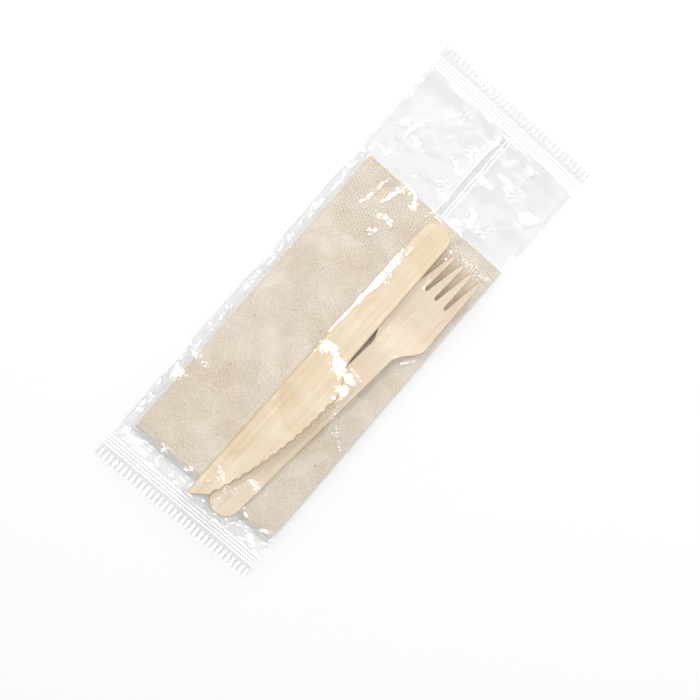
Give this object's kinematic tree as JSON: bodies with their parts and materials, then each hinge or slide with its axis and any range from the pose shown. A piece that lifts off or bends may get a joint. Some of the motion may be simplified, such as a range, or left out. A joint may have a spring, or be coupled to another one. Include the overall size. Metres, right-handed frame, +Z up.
{
  "type": "sealed cutlery pack",
  "caption": "Flat clear film pouch with crimped ends and a fin seal, holding a pressed wooden knife and fork on a folded brown paper napkin.",
  "frame": {"origin": "centre of the bounding box in plan, on the surface that the pack lies on", "axes": "+X along the pack towards the fork's tines and the long empty end of the pouch, +Y across it from the fork's side to the loose folded side, +Z up through its thickness"},
  "size_m": [0.2414, 0.088, 0.0113],
  "materials": {
    "clear_film": "clear, glossy, thin film",
    "brown_tissue": "soft matt recycled tissue",
    "knife_wood": "smooth unvarnished pale wood",
    "fork_wood": "smooth unvarnished pale wood"
  },
  "bodies": {
    "root": {"film_pouch": "clear_film", "napkin": "brown_tissue", "knife": "knife_wood", "fork": "fork_wood"}
  },
  "joints": []
}
